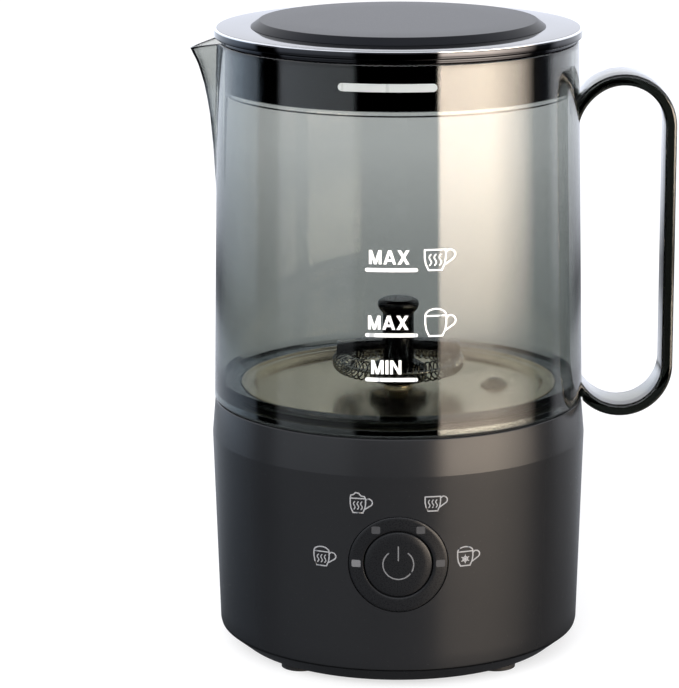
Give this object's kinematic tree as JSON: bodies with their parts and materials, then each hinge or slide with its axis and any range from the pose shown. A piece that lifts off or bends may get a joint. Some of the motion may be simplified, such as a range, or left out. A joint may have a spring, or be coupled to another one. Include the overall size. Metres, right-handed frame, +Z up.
{
  "type": "milk frother",
  "caption": "Countertop milk frother: a heating base carries a lift-off clear jug with a lid, pouring lip, loop handle and a magnetically driven coil whisk.",
  "frame": {"origin": "centre of the foot's flat underside, on the jug axis", "axes": "+Z up along the jug axis; -Y towards the control ring at the front; +X towards the handle, -X towards the pouring lip"},
  "size_m": [0.1491, 0.1173, 0.1971],
  "materials": {
    "base_plastic": "moulded, fine spark-eroded matt texture",
    "control_plastic": "moulded, smooth satin",
    "foot_rubber": "moulded matt",
    "plate_aluminium": "turned face",
    "silicone": "moulded satin",
    "element_steel": "drawn tube, heat tinted",
    "plain_steel": "turned",
    "zinc_steel": "pressed and zinc plated",
    "screw_steel": "rolled and zinc plated",
    "board_laminate": "green solder mask",
    "relay_plastic": "moulded blue",
    "capacitor_sleeve": "shrink sleeve",
    "transformer_tape": "wound yellow tape",
    "terminal_plastic": "moulded green",
    "switch_plastic": "moulded",
    "lamp_resin": "cast resin",
    "window_plastic": "frosted light guide",
    "gland_rubber": "moulded",
    "inner_plastic": "moulded natural",
    "core_steel": "stacked laminations",
    "magnet_nickel": "nickel plated",
    "clear_plastic": "clear smoke tinted, polished mould",
    "dish_steel": "drawn and polished",
    "gloss_black_plastic": "polished mould",
    "lid_chrome": "dark chrome plated",
    "lid_satin": "satin metallic lacquer",
    "seal_silicone": "clear silicone",
    "white_print": "pad printed white",
    "bush_plastic": "moulded acetal",
    "whisk_plastic": "moulded, lightly polished",
    "coil_steel": "bright drawn wire"
  },
  "bodies": {
    "base": {"base_housing": "base_plastic", "bottom_cover": "base_plastic", "foot_ring": "foot_rubber", "base_deck": "base_plastic", "heater_plate": "plate_aluminium", "heater_seal": "silicone", "heating_element": "element_steel", "temperature_sensor": "plain_steel", "thermal_fuse": "plain_steel", "motor_can": "zinc_steel", "motor_bracket": "zinc_steel", "motor_screws": "screw_steel", "bracket_screws": "screw_steel", "cover_screws": "screw_steel", "power_board": "board_laminate", "relay": "relay_plastic", "capacitor": "capacitor_sleeve", "transformer": "transformer_tape", "terminal_block": "terminal_plastic", "control_board": "board_laminate", "tact_switch": "switch_plastic", "indicator_leds": "lamp_resin", "control_ring": "control_plastic", "light_windows": "window_plastic", "cord_gland": "gland_rubber", "cord_clamp": "inner_plastic", "clamp_screws": "screw_steel"},
    "rotor": {"motor_shaft": "plain_steel", "motor_armature": "core_steel", "magnet_wheel": "inner_plastic", "drive_magnets": "magnet_nickel"},
    "button": {"power_button": "control_plastic"},
    "jug": {"jug_body": "clear_plastic", "jug_handle": "clear_plastic", "heating_dish": "dish_steel", "sensor_stud": "dish_steel", "dish_gasket": "silicone", "jug_bottom_ring": "gloss_black_plastic", "whisk_post": "dish_steel"},
    "lid": {"lid_flange": "lid_chrome", "lid_pad": "lid_satin", "lid_skirt": "lid_chrome", "lid_seal": "seal_silicone", "lid_mark_bar": "white_print"},
    "whisk_sleeve": {"whisk_bush": "bush_plastic"},
    "whisk": {"whisk_hub": "whisk_plastic", "whisk_magnets": "magnet_nickel", "whisk_knob": "whisk_plastic", "whisk_coil": "coil_steel", "whisk_wire_ring": "coil_steel"}
  },
  "joints": [
    {"name": "rotor_spin", "type": "hinge", "parent": "base", "child": "rotor", "pos_m": [0, 0, 0.05], "axis": [0, 0, 1], "continuous": true},
    {"name": "button_press", "type": "slide", "parent": "base", "child": "button", "axis": [0, 1, 0], "range_m": [0, 0.0008], "stiffness_N_per_m": 900, "springref_m": -0.001},
    {"name": "jug_lift", "type": "slide", "parent": "base", "child": "jug", "axis": [0, 0, 1], "range_m": [0, 0.12]},
    {"name": "lid_lift", "type": "slide", "parent": "jug", "child": "lid", "axis": [0, 0, 1], "range_m": [0, 0.05]},
    {"name": "whisk_lift", "type": "slide", "parent": "jug", "child": "whisk_sleeve", "axis": [0, 0, 1], "range_m": [0, 0.06]},
    {"name": "whisk_spin", "type": "hinge", "parent": "whisk_sleeve", "child": "whisk", "pos_m": [0, 0, 0.09], "axis": [0, 0, 1], "continuous": true}
  ],
  "couplings": [
    {"joint": "whisk_spin", "follows": "rotor_spin", "ratio": 1}
  ]
}
